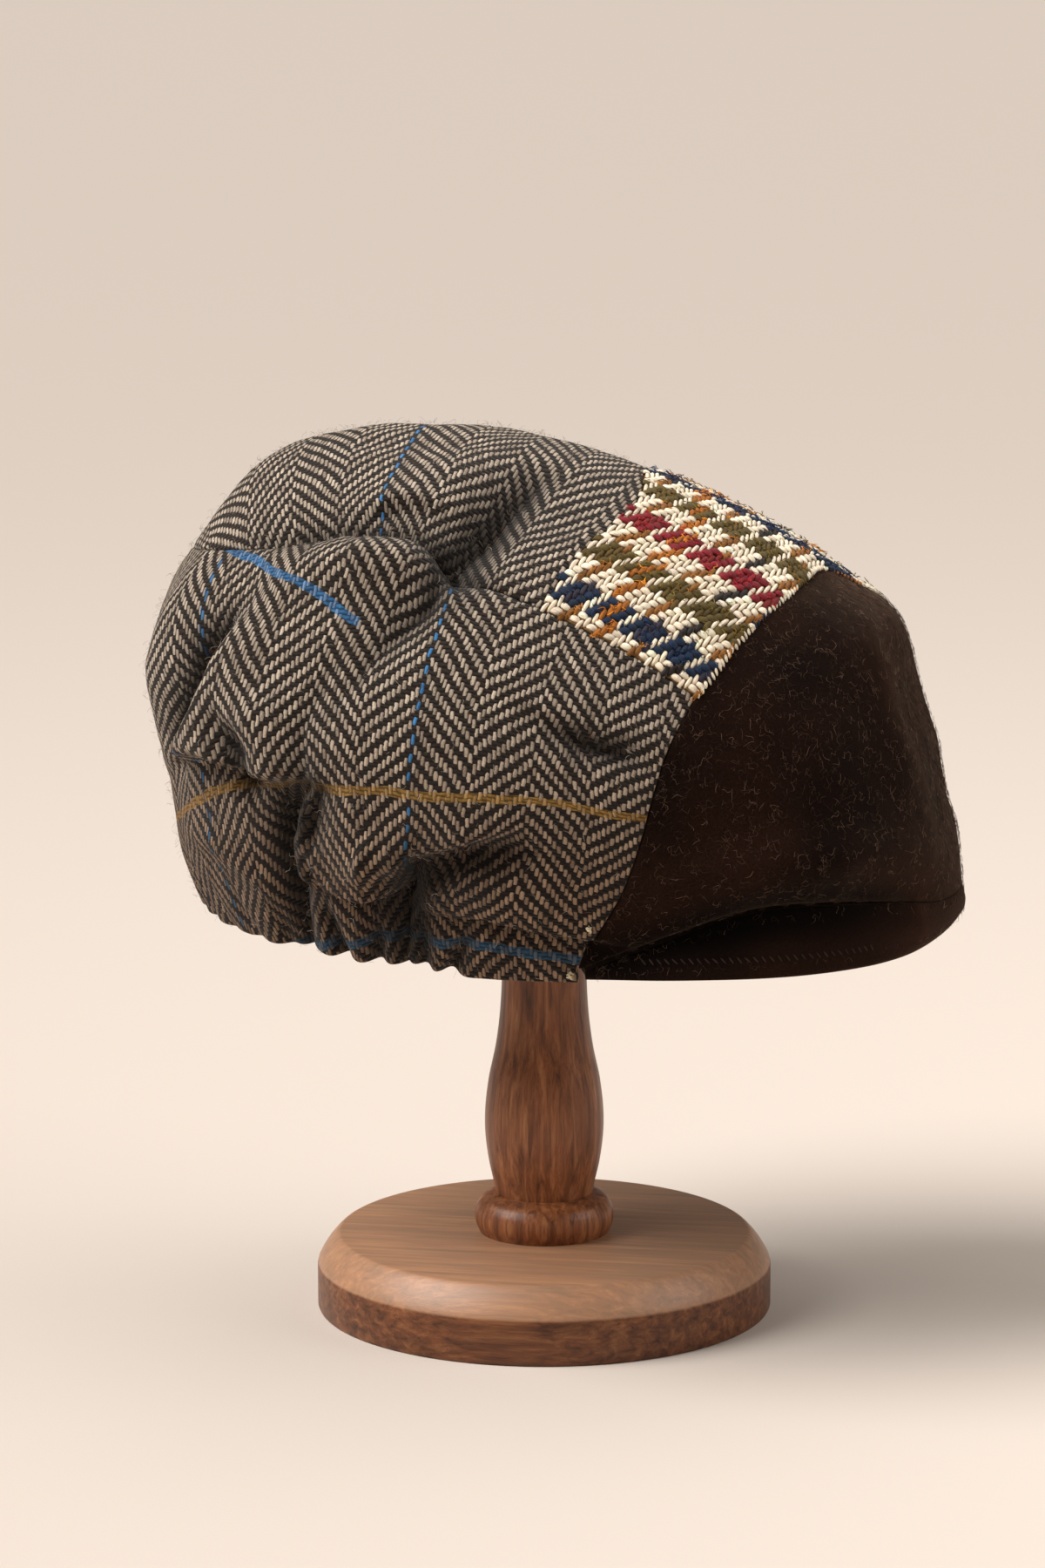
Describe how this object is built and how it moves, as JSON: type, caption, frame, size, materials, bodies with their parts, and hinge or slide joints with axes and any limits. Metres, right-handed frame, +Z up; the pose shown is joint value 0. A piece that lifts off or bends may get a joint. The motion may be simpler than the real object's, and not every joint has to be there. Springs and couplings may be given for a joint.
{
  "type": "flat cap on a wooden hat stand",
  "caption": "Soft flat cap of herringbone tweed with a checked patch, a felt front and a short peak, on a turned wooden hat stand.",
  "frame": {"origin": "centre of the stand's foot, on the surface that it stands on", "axes": "+X the way the cap's peak points, +Y the wearer's left, +Z up"},
  "size_m": [0.2608, 0.215, 0.2912],
  "materials": {
    "tweed": "matt brushed wool, herringbone of light and dark yarn",
    "check_cloth": "matt heavy wool, houndstooth check of cream, navy, olive, red and rust yarn",
    "felt": "matt dark brown wool felt with loose fibres",
    "wood": "satin varnished walnut brown hardwood"
  },
  "bodies": {
    "root": {"crown_side_right": "tweed", "crown_side_left": "tweed", "crown_top": "tweed", "crown_patch": "check_cloth", "crown_front": "felt", "peak": "felt", "stand_foot": "wood", "stand_column": "wood", "stand_head": "wood"}
  },
  "joints": []
}
